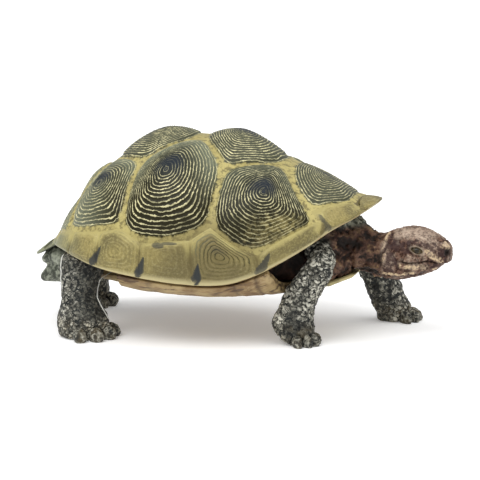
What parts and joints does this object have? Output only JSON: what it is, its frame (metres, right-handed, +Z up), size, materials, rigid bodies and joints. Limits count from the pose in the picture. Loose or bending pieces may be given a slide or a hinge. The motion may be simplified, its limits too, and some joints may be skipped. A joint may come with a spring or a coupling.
{
  "type": "toy tortoise figurine",
  "caption": "Painted moulded-plastic tortoise figurine in a walking pose: domed shell with ringed scutes, scaly legs and outstretched head. It stands on its soles.",
  "frame": {"origin": "on the floor under the middle of the whole figure", "axes": "+X towards the head, +Y to the animal's left, +Z up"},
  "size_m": [0.143, 0.0804, 0.0675],
  "materials": {
    "shell": "semi-matt hand-painted olive with black rings",
    "plastron": "semi-matt tan with brown streaks",
    "skin_grey": "matt charcoal with pale dry-brushed scales",
    "skin_brown": "semi-matt brown with beige highlights",
    "eye": "gloss dark paint",
    "toe": "matt charcoal"
  },
  "bodies": {
    "root": {"carapace": "shell", "plastron": "plastron", "trunk": "skin_grey", "rump": "skin_grey", "neck": "skin_brown", "head": "skin_brown", "lower_jaw": "skin_brown", "eye_left": "eye", "eye_right": "eye", "tail": "skin_grey", "front_right_upper": "skin_grey", "front_right_lower": "skin_grey", "front_right_foot": "skin_grey", "front_right_toe_1": "toe", "front_right_toe_2": "toe", "front_right_toe_3": "toe", "front_right_toe_4": "toe", "front_right_toe_5": "toe", "front_left_upper": "skin_grey", "front_left_lower": "skin_grey", "front_left_foot": "skin_grey", "front_left_toe_1": "toe", "front_left_toe_2": "toe", "front_left_toe_3": "toe", "front_left_toe_4": "toe", "front_left_toe_5": "toe", "hind_right_upper": "skin_grey", "hind_right_lower": "skin_grey", "hind_right_foot": "skin_grey", "hind_right_toe_1": "toe", "hind_right_toe_2": "toe", "hind_right_toe_3": "toe", "hind_right_toe_4": "toe", "hind_left_upper": "skin_grey", "hind_left_lower": "skin_grey", "hind_left_foot": "skin_grey", "hind_left_toe_1": "toe", "hind_left_toe_2": "toe", "hind_left_toe_3": "toe", "hind_left_toe_4": "toe"}
  },
  "joints": []
}
